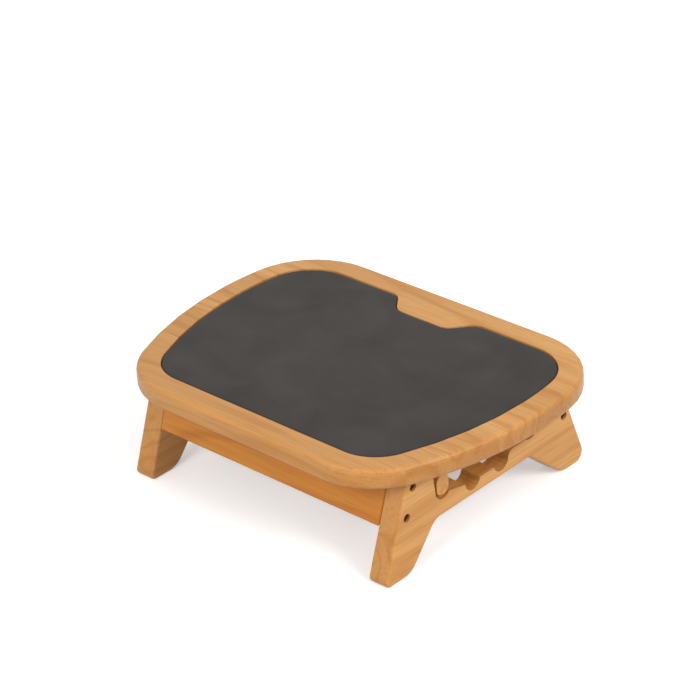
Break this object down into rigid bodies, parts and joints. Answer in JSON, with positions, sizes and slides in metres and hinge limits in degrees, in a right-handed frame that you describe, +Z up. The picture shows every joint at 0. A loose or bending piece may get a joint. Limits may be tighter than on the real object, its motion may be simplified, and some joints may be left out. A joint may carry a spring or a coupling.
{
  "type": "desk_footrest",
  "caption": "Wooden under-desk footrest with a dark padded platform that tilts on a splayed trestle, propped by a swinging stay that lies in wavy side slots.",
  "frame": {"origin": "On the floor, under the middle of the platform.", "axes": "+X is the user's right-hand side, +Y the toe side (the side of the bare wooden tab), +Z up."},
  "size_m": [0.4, 0.3, 0.1195],
  "materials": {
    "honey_wood": "satin",
    "amber_wood": "satin",
    "charcoal_cloth": "matte",
    "foam": "matte",
    "plywood": "matte",
    "steel": "satin",
    "screw_steel": "satin"
  },
  "bodies": {
    "base": {"fixed_leaf_screw_left_1": "screw_steel", "fixed_leaf_screw_left_2": "screw_steel", "fixed_leaf_screw_right_1": "screw_steel", "fixed_leaf_screw_right_2": "screw_steel", "frame_screw_left_1": "screw_steel", "frame_screw_left_2": "screw_steel", "frame_screw_left_3": "screw_steel", "frame_screw_left_4": "screw_steel", "frame_screw_right_1": "screw_steel", "frame_screw_right_2": "screw_steel", "frame_screw_right_3": "screw_steel", "frame_screw_right_4": "screw_steel", "front_apron": "amber_wood", "hinge_fixed_leaf_left": "steel", "hinge_fixed_leaf_right": "steel", "hinge_pin_left": "steel", "hinge_pin_right": "steel", "rear_apron": "amber_wood", "side_panel_left": "honey_wood", "side_panel_right": "honey_wood"},
    "platform": {"guide_block_left": "honey_wood", "guide_block_right": "honey_wood", "guide_screw_left_1": "screw_steel", "guide_screw_left_2": "screw_steel", "guide_screw_right_1": "screw_steel", "guide_screw_right_2": "screw_steel", "hinge_moving_leaf_left": "steel", "hinge_moving_leaf_right": "steel", "moving_leaf_screw_left_1": "screw_steel", "moving_leaf_screw_left_2": "screw_steel", "moving_leaf_screw_right_1": "screw_steel", "moving_leaf_screw_right_2": "screw_steel", "pad_backing": "plywood", "pad_cover": "charcoal_cloth", "pad_foam": "foam", "platform_board": "honey_wood"},
    "stay": {"foot_bar": "honey_wood", "head_rod": "steel", "stay_arm_left": "honey_wood", "stay_arm_right": "honey_wood", "stay_screw_left": "screw_steel", "stay_screw_right": "screw_steel"}
  },
  "joints": [
    {"name": "platform_tilt", "type": "hinge", "parent": "base", "child": "platform", "pos_m": [0, -0.10749, 0.0951], "axis": [1, 0, 0], "range_deg": [0, 30]},
    {"name": "stay_swing", "type": "hinge", "parent": "base", "child": "stay", "pos_m": [0, -0.0575, 0.0713], "axis": [1, 0, 0], "range_deg": [0, 43.14]}
  ],
  "couplings": [
    {"joint": "stay_swing", "follows": "platform_tilt", "ratio": 1.438}
  ]
}
